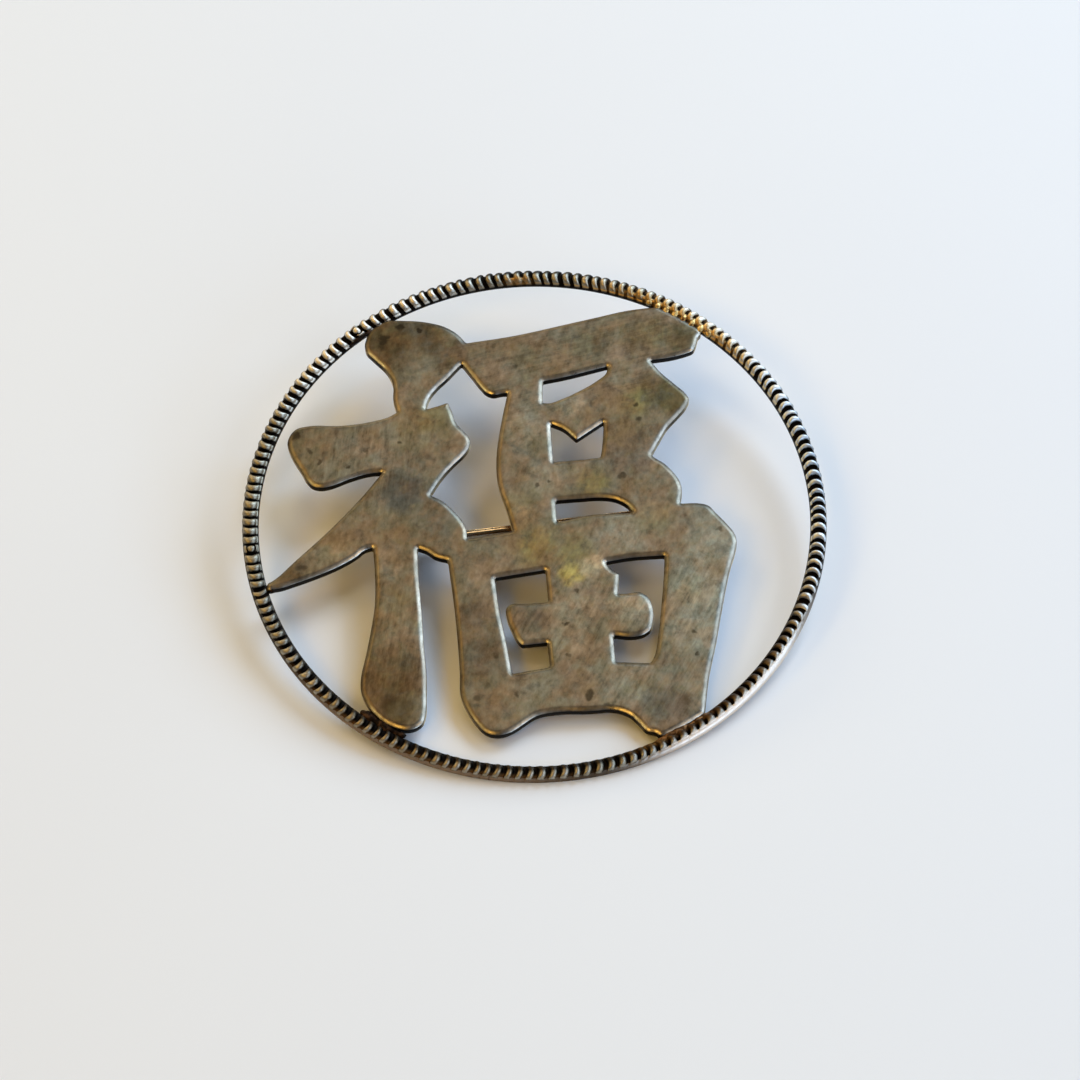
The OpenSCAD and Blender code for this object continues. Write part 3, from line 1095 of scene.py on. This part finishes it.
GREEN_PATCHES = (
    (8.6, 11.2, 0.4, 2.2, 0.7),
    (5.0, 3.0, 0.5, 2.1, 0.75),
    (10.3, -0.4, 0.5, 2.4, 0.4),
    (0.2, -3.2, 0.7, 3.0, 0.8),
    (3.4, -4.0, 0.7, 2.6, 0.7),
    (10.6, 18.4, 0.3, 2.0, 0.4),
    (12.7, -7.9, 0.3, 1.7, 0.3),
    (-9.0, 9.6, 0.4, 2.0, 0.35),
)

COOL_PATCHES = (
    (15.2, -3.4, 0.8, 3.4, 0.85),
    (14.0, -7.4, 1.0, 3.4, 1.0),
    (13.2, -11.2, 0.8, 3.4, 0.7),
    (12.0, -15.0, 0.8, 3.4, 0.35),
    (7.0, -15.4, 0.8, 4.0, 0.3),
)

LIGHT_PATCHES = (
    (8.0, -8.8, 0.8, 2.6, 1.0),
    (3.4, -9.4, 0.8, 3.0, 0.65),
    (3.0, -12.2, 0.6, 2.4, 0.4),
    (7.8, -1.8, 0.8, 3.0, 0.6),
    (3.0, 11.6, 0.6, 2.4, 0.95),
    (-1.2, 8.4, 0.8, 3.4, 0.35),
    (0.8, 3.2, 0.6, 2.4, 0.4),
    (-2.0, 0.4, 0.5, 2.4, 0.6),
    (-12.4, -5.2, 0.6, 2.4, 0.45),
    (-16.8, -3.6, 0.5, 2.4, 0.3),
    (-16.0, 6.2, 0.5, 2.0, 0.3),
    (0.0, -17.0, 0.8, 3.0, 0.25),
    (4.8, -6.2, 0.4, 2.0, 0.4),
)

YELLOW_SPOTS = ((3.2, -5.9, 0.35, 1.35, 1.0),)
TAN_SPOTS = (
    (4.5, -5.3, 0.2, 1.1, 1.0),
    (5.5, -4.8, 0.2, 0.9, 1.0),
)

# Patches in the order in which they lie over one another
TARNISH = (
    (COOL_SILVER, COOL_PATCHES),
    (LIGHT_SILVER, LIGHT_PATCHES),
    (WARM_TARNISH, WARM_PATCHES),
    (DULL_TARNISH, DULL_PATCHES),
    (OLIVE_TARNISH, OLIVE_PATCHES),
    (BROWN_TARNISH, BROWN_PATCHES),
)

# Directions of fine lines in degrees, and the patches to which they keep
STREAKS = (
    (84, ((-15.0, 5.0, 4.0, 8.0, 1.0), (-12.0, -12.0, 4.0, 9.0, 1.0))),
    (63, ((11.0, -12.0, 6.0, 12.0, 1.0), (2.0, -8.0, 4.0, 9.0, 0.7))),
    (16, ((-2.0, 16.0, 6.0, 10.0, 0.8), (8.0, 17.0, 4.0, 8.0, 0.8))),
)


def cover(s, table):
    """How far the spots of a table cover each place, from 0 to 1."""
    most = 0.0
    for x, y, inner, outer, strength in table:
        most = s.math("MAXIMUM", most, s.times(s.spot(x, y, inner, outer), strength))
    return most


def tarnish(s, mottle, speck):
    """Slow colours of the sheet's front: patches of tarnish and stains over warm grey silver."""
    clouds = s.noise(s.flat, 0.14, 3, 0.5, 0.4)
    blotch = s.noise(s.flat, 0.75, 4, 0.65, 0.6)
    hue = s.noise(s.turned(30, 0.55, 0.45), 1.0, 4, 0.65)
    base = s.mix(s.span(clouds, 0.36, 0.64), FRONT_WARM, FRONT_GREY)
    for color, table in TARNISH:
        base = s.mix(cover(s, table), base, color)
    green = s.times(cover(s, GREEN_PATCHES), s.span(mottle, 0.3, 0.6, 0.4, 1.0))
    base = s.mix(green, base, GREEN_TARNISH)
    base = s.mix(s.span(blotch, 0.5, 0.72, 0.0, 0.45), base, s.mix(0.5, base, GREEN_TARNISH))
    base = s.mix(s.span(blotch, 0.5, 0.3, 0.0, 0.5), base, DULL_TARNISH)
    yellow = s.times(cover(s, YELLOW_SPOTS), s.span(speck, 0.3, 0.55, 0.55, 1.0))
    base = s.mix(yellow, base, YELLOW_STAIN)
    tan = s.times(cover(s, TAN_SPOTS), s.span(speck, 0.3, 0.55, 0.75, 1.0))
    base = s.mix(tan, base, TAN_STAIN)
    return s.mix(1.0, base, s.mix(s.span(hue, 0.36, 0.64), HUE_RED, HUE_GREEN), "MULTIPLY")


def fine_tone(s, mottle, grain, speck):
    """How light the fine pattern of the sheet's front is at each place, around 1."""
    tone = 1.0
    for pattern, strength in ((mottle, 1.6), (grain, 0.45), (speck, 0.8)):
        tone = s.math("MULTIPLY_ADD", s.math("SUBTRACT", pattern, 0.5), strength, tone)
    for degrees, table in STREAKS:
        lines = s.noise(s.turned(degrees, 3.2, 0.3), 1.0, 5, 0.65)
        lines = s.times(s.math("SUBTRACT", lines, 0.5), cover(s, table))
        tone = s.math("MULTIPLY_ADD", lines, 1.25, tone)
    return tone


def with_worn_and_lit_edges(s, base, speck):
    """The front's colour with its edges laid over it: rubbed edges lightened, partly with a painted
    highlight; painted shade on edges that face up or left; a painted dark line at the rim for the shaded
    wall; and how bright each edge is.
    """
    from_edge = s.attribute("from_edge")
    rubbed = s.attribute("rubbed")
    rim = s.attribute("rim")
    # Brighter silver on the edges: partly real wear, partly a painted highlight by facing
    edge = s.times(s.span(from_edge, 0.12, 0.42, 1.0, 0.0), s.span(speck, 0.3, 0.6, 0.55, 0.95))
    edge = s.times(edge, rubbed)
    edge = s.times(edge, s.span(s.noise(s.flat, 0.3, 2, 0.5), 0.36, 0.62, 0.5, 1.0))
    # Painted shade: near the rim, edges that face up or left are darkened
    edge_shade = s.times(s.math("SUBTRACT", 1.0, rubbed), s.span(from_edge, 0.14, 0.44, 0.75, 0.0))
    base = s.scale(base, s.math("SUBTRACT", 1.0, edge_shade))
    # Edges that face up or down get a paler colour, a painted change of what they reflect
    base = s.mix(edge, base, s.mix(rim, EDGE_SILVER, PALE_EDGE))
    # Painted shade: a dark line at the rim of edges that face up or down, for the shaded sawn wall
    line = s.times(s.span(from_edge, 0.004, 0.035, 1.0, 0.0), rim)
    return s.mix(line, base, RIM_SHADE_BLACK), edge


def silver_front():
    """Tarnished silver: warm grey with brown, green and cool patches, fine lines, grain and dark spots."""
    s = Shader("silver_front")
    mottle = s.noise(s.turned(80, 1.0, 0.7), 1.0, 4, 0.65)
    grain = s.noise(s.turned(80, 3.4, 2.0), 1.0, 4, 0.65)
    speck = s.noise(s.turned(70, 2.4, 1.7), 1.0, 2, 0.5)
    base = s.scale(tarnish(s, mottle, speck), fine_tone(s, mottle, grain, speck))
    base = s.mix(cover(s, DARK_SPOTS), base, SPOT_BLACK)
    base, edge = with_worn_and_lit_edges(s, base, speck)
    rough = s.math("MULTIPLY_ADD", edge, -0.14, s.span(mottle, 0.3, 0.75, 0.38, 0.5))
    height = s.math("MULTIPLY_ADD", grain, 0.7, mottle)
    return s.finish(base, rough, 1.0, s.bump(height, 0.3, 0.00003))


def sawn_wall_light_and_shade():
    """Sawn side of the sheet with faint saw lines, with painted shade: almost black where it faces up or
    down the brooch; and painted light: pale and less metallic where it faces sideways.
    """
    s = Shader("sawn_wall_light_and_shade")
    lines = s.noise(s.turned(0, 3.0, 3.0), 1.0, 3, 0.6)
    rim = s.attribute("rim")
    # Painted shade and painted light by facing: black where the wall faces up or down, pale where it faces
    # sideways
    black = s.mix(s.span(lines, 0.4, 0.7), rgb(14, 11, 9), rgb(34, 27, 20))
    pale = s.mix(s.span(lines, 0.4, 0.7), rgb(206, 190, 154), rgb(176, 156, 120))
    rough = s.span(lines, 0.3, 0.7, 0.5, 0.65)
    metal = s.span(rim, 0.0, 1.0, 0.35, 0.9)
    normal = s.bump(s.noise(s.flat, 5.0, 2, 0.5), 0.4, 0.00003)
    return s.finish(s.mix(rim, pale, black), rough, metal, normal)


def silver_back():
    """Back of the sheet: golden brown tarnish on silver."""
    s = Shader("silver_back")
    clouds = s.noise(s.flat, 0.25, 4, 0.6, 0.5)
    streak = s.noise(s.turned(20, 6.0, 0.4), 1.0, 3, 0.6)
    base = s.mix(s.span(clouds, 0.35, 0.65), rgb(100, 64, 30), rgb(124, 88, 46))
    base = s.mix(s.times(s.span(streak, 0.5, 0.7), 0.4), base, rgb(70, 46, 26))
    rough = s.span(clouds, 0.3, 0.7, 0.36, 0.5)
    return s.finish(base, rough, 1.0, s.bump(streak, 0.3, 0.00003))


def bead_silver(s, fine):
    """Colour of the worn beads: lighter with painted light on the right and upper left, olive, cool or
    golden by place, golden partly from solder and partly a painted warm light, and painted shade on their
    far side.
    """
    bright = s.attribute("bright")
    side = s.attribute("side")
    slow = s.noise(s.flat, 0.35, 3, 0.55)
    silver = s.mix(s.span(slow, 0.4, 0.62), rgb(170, 164, 150), rgb(150, 142, 124))
    silver = s.mix(s.attribute("olive"), silver, rgb(158, 149, 130))
    # The lighter bead colour of the 'bright' share is painted light
    lit_bead = s.mix(s.attribute("cool"), rgb(226, 216, 198), rgb(214, 220, 224))
    silver = s.mix(bright, silver, lit_bead)
    gold = s.mix(bright, rgb(150, 120, 74), rgb(218, 190, 132))
    # The golden share: solder colour at the upper right, painted warm light at the lower left
    gilt = s.times(s.attribute("golden"), s.span(side, -0.15, 0.45, 1.0, 0.3))
    silver = s.mix(s.times(gilt, s.span(fine, 0.35, 0.6, 0.4, 0.9)), silver, gold)
    lump = s.times(s.attribute("worn"), s.span(side, 0.05, 0.35, 0.85, 0.0))
    silver = s.mix(lump, silver, rgb(92, 70, 50))
    # Painted shade on the side of the beads away from the viewer
    return s.mix(s.span(s.attribute("far"), -0.1, 0.42, 0.0, 0.95), silver, rgb(34, 28, 23))


def ring_silver():
    """Milled wire: worn beads, black tarnish in the grooves, a worn outer slope at the lower right with a
    painted reflection, and painted shade on the flanks.
    """
    s = Shader("ring_silver")
    flank = s.attribute("flank")
    worn = s.attribute("worn")
    golden = s.attribute("golden")
    fine = s.noise(s.flat, 3.0, 4, 0.6)
    worn_edge = s.math("MULTIPLY_ADD", s.math("SUBTRACT", fine, 0.5), 0.6, s.attribute("crown"))
    # How far the bead shows over the groove, a little more where the painted light lies
    lit_bead = s.span(s.math("MULTIPLY_ADD", s.attribute("bright"), 0.1, worn_edge), 0.5, 0.85)
    # Brown grooves where the golden share is: solder at the upper right, painted warm light at the lower
    # left
    brown_gap = s.times(golden, s.span(s.attribute("side"), 0.1, 0.6))
    groove = s.mix(brown_gap, rgb(17, 13, 10), rgb(92, 68, 42))
    base = s.mix(lit_bead, groove, bead_silver(s, fine))
    filled = s.times(s.attribute("filled"), s.span(fine, 0.35, 0.65, 0.3, 0.9))
    base = s.mix(filled, base, s.mix(worn, rgb(176, 134, 76), rgb(70, 48, 28)))
    # Outer flank: painted shade, lighter where the golden share is, and a painted reflection of the window
    # light on the worn slope
    outer = s.mix(golden, rgb(52, 45, 38), rgb(150, 128, 106))
    outer = s.mix(worn, outer, rgb(238, 224, 208))
    base = s.mix(s.span(flank, 0.25, 0.8), base, outer)
    # Painted shade: the inner flank is near-black
    base = s.mix(s.span(flank, -0.3, -0.9), base, rgb(26, 20, 16))
    rough = s.math("MULTIPLY_ADD", lit_bead, -0.06, 0.52)
    return s.finish(base, rough, 1.0, s.bump(fine, 0.4, 0.00004))


def solder(name, cloud_size, limits, dark, light, rough, pits):
    """Solder mottled between two tones, with fine pits given by their scale, strength and depth."""
    s = Shader(name)
    clouds = s.noise(s.flat, cloud_size, 4, 0.6)
    pit_size, strength, depth = pits
    normal = s.bump(s.noise(s.flat, pit_size, 3, 0.5), strength, depth)
    base = s.mix(s.span(clouds, *limits), dark, light)
    return s.finish(base, s.span(clouds, 0.3, 0.7, *rough), 1.0, normal)


def solder_gold():
    """Brass-coloured solder."""
    dark = rgb(128, 96, 54)
    light = rgb(232, 200, 132)
    return solder("solder_gold", 1.3, (0.36, 0.64), dark, light, (0.3, 0.5), (3.0, 0.5, 0.00005))


def solder_dark():
    """Black tarnished solder with a faint copper tone."""
    dark = rgb(26, 20, 16)
    light = rgb(76, 54, 38)
    return solder("solder_dark", 1.6, (0.45, 0.7), dark, light, (0.4, 0.6), (3.0, 0.5, 0.00005))


def solder_brown():
    """Brown solder with brighter copper tops."""
    dark = rgb(58, 40, 26)
    light = rgb(140, 104, 70)
    return solder("solder_brown", 1.8, (0.38, 0.62), dark, light, (0.34, 0.5), (3.4, 0.6, 0.00006))


def fitting_silver():
    """Hinge bracket and hook: filed silver with yellowish tarnish."""
    s = Shader("fitting_silver")
    clouds = s.noise(s.flat, 0.6, 4, 0.6)
    lines = s.noise(s.turned(8, 8.0, 0.8), 1.0, 2, 0.5)
    base = s.mix(s.span(clouds, 0.36, 0.64), rgb(176, 150, 104), rgb(206, 190, 158))
    base = s.mix(s.times(s.span(lines, 0.5, 0.7), 0.3), base, rgb(120, 98, 66))
    rough = s.span(clouds, 0.3, 0.7, 0.32, 0.46)
    return s.finish(base, rough, 1.0, s.bump(lines, 0.3, 0.00003))


def pin_wire(name, light, dark):
    """Drawn wire with lines along it and light tarnish."""
    s = Shader(name)
    clouds = s.noise(s.flat, 0.8, 3, 0.6)
    lines = s.noise(s.turned(7.9, 9.0, 0.5), 1.0, 2, 0.5)
    base = s.mix(s.span(clouds, 0.36, 0.66), light, dark)
    rough = s.span(lines, 0.3, 0.7, 0.16, 0.24)
    return s.finish(base, rough, 1.0, s.bump(lines, 0.05, 0.00002))


def floor_white():
    """Plain pale floor."""
    s = Shader("floor_white")
    clouds = s.noise(s.flat, 0.01, 2, 0.5)
    base = s.mix(s.span(clouds, 0.3, 0.7), (0.74, 0.775, 0.82, 1), (0.76, 0.795, 0.835, 1))
    return s.finish(base, 0.7, 0.0)


# Camera, floor and light

CAMERA_AIM = Vector((0.507, -2.353, 3.247)) * MM
CAMERA_DISTANCE = 298.588 * MM
CAMERA_ELEVATION = math.radians(53.486)
CAMERA_AZIMUTH = math.radians(2.551)
CAMERA_ROLL = math.radians(-2.605)
CAMERA_LENS = 116.783
CAMERA_SENSOR = 36
CAMERA_NEAR = 0.01
CAMERA_FAR = 20

# Half the width of the floor and the distance of the lights from the brooch, in metres
FLOOR_HALF = 1.5
LIGHT_DISTANCE = 0.8
ROOM_COLOR = (1.0, 0.94, 0.86, 1)
ROOM_STRENGTH = 0.02

# Columns: name, azimuth, elevation, width and height in degrees seen from the brooch, radiance in
# red, green and blue. Azimuth is measured from +X towards +Y.
SOFT_BOXES = (
    ("window_low", 322, 19, 40, 22, (2.4, 3.2, 4.4)),
    ("window_front", 2, 36, 20, 30, (2.2, 3.05, 4.3)),
    ("window_side", 36, 29, 20, 38, (2.8, 3.85, 5.2)),
    ("window_high", 58, 36, 23, 38, (4.8, 6.2, 7.8)),
    ("lamp_right", 330, 42, 20, 20, (2.0, 1.6, 1.1)),
    ("lamp_low", 105, 18, 32, 14, (4.8, 3.8, 2.2)),
    ("wall_left", 138, 32, 24, 46, (1.95, 1.6, 1.0)),
    ("lamp_left", 155, 50, 22, 18, (2.9, 1.7, 0.4)),
    ("lamp_far_left", 196, 41, 15, 13, (4.4, 3.5, 1.5)),
    ("ceiling", 85, 75, 30, 22, (1.85, 1.45, 0.88)),
    ("lamp_front", 236, 48, 24, 16, (5.4, 3.15, 0.7)),
)


def direction(azimuth, elevation):
    """Unit vector from the brooch towards a place given by its angles, azimuth from +X towards +Y."""
    level = math.cos(elevation)
    return Vector((math.cos(azimuth) * level, math.sin(azimuth) * level, math.sin(elevation)))


def add_camera():
    """Camera at the photo's angle."""
    back = direction(CAMERA_AZIMUTH - math.pi / 2, CAMERA_ELEVATION)
    right = Vector((0, 0, 1)).cross(back).normalized()
    up = back.cross(right)
    x_axis = right * math.cos(CAMERA_ROLL) + up * math.sin(CAMERA_ROLL)
    y_axis = back.cross(x_axis)
    turn = Matrix((x_axis, y_axis, back)).transposed().to_4x4()
    camera = bpy.data.objects.new("camera", bpy.data.cameras.new("camera"))
    camera.data.lens = CAMERA_LENS
    camera.data.sensor_width = CAMERA_SENSOR
    camera.data.clip_start = CAMERA_NEAR
    camera.data.clip_end = CAMERA_FAR
    camera.matrix_world = Matrix.Translation(CAMERA_AIM + back * CAMERA_DISTANCE) @ turn
    bpy.context.scene.collection.objects.link(camera)
    bpy.context.scene.camera = camera


def add_floor(material):
    """Plain floor under the brooch."""
    signs = ((-1, -1), (1, -1), (1, 1), (-1, 1))
    corners = [(x * FLOOR_HALF, y * FLOOR_HALF, 0) for x, y in signs]
    mesh = bpy.data.meshes.new("floor")
    mesh.from_pydata(corners, [], [(0, 1, 2, 3)])
    mesh.materials.append(material)
    floor = bpy.data.objects.new("floor", mesh)
    bpy.context.scene.collection.objects.link(floor)


def add_soft_box(name, azimuth, elevation, width, height, radiance):
    """A soft box aimed at the brooch."""
    light = bpy.data.lights.new(name, "AREA")
    light.shape = "RECTANGLE"
    light.size = LIGHT_DISTANCE * math.radians(width)
    light.size_y = LIGHT_DISTANCE * math.radians(height)
    strongest = max(radiance)
    light.energy = strongest * math.pi * light.size * light.size_y
    light.color = [value / strongest for value in radiance]
    way = direction(math.radians(azimuth), math.radians(elevation))
    turn = way.to_track_quat("Z", "Y").to_matrix().to_4x4()
    obj = bpy.data.objects.new(name, light)
    obj.matrix_world = Matrix.Translation(way * LIGHT_DISTANCE) @ turn
    bpy.context.scene.collection.objects.link(obj)


def add_light():
    """Cool window light from the right, warm lamps from the left and front, and a dim room."""
    for row in SOFT_BOXES:
        add_soft_box(*row)
    world = bpy.data.worlds.new("room")
    world.use_nodes = True
    shade = world.node_tree.nodes["Background"]
    shade.inputs["Color"].default_value = ROOM_COLOR
    shade.inputs["Strength"].default_value = ROOM_STRENGTH
    bpy.context.scene.world = world


# Everything together


def build_pieces():
    """The pieces of the real brooch that dress its one solid body."""
    outlines = [smooth_loop(without_doubles(tuck_under_ring(loop))) for loop in top_loops()]
    hinge, way = pin_line()
    metal = fitting_silver()
    return [
        build_sheet(outlines, silver_front(), sawn_wall_light_and_shade(), silver_back()),
        build_ring(ring_silver()),
        *build_solder(),
        build_bracket(hinge, way, metal),
        build_hook(hinge, way, metal),
    ]


def dress(node, material):
    """Gives a node of the solids its finished material."""
    node.data.materials.clear()
    node.data.materials.append(material)


def main():
    """Dresses the brooch and sets the scene."""
    for piece in build_pieces():
        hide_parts("pierced_body")
    dress(stem_node, pin_wire("pin_wire_brass", rgb(228, 214, 194), rgb(186, 164, 138)))
    dress(rivet_node, pin_wire("rivet_wire_silver", rgb(200, 190, 168), rgb(140, 124, 98)))
    add_floor(floor_white())
    add_light()
    add_camera()
    bpy.context.scene.view_settings.view_transform = "Standard"


main()
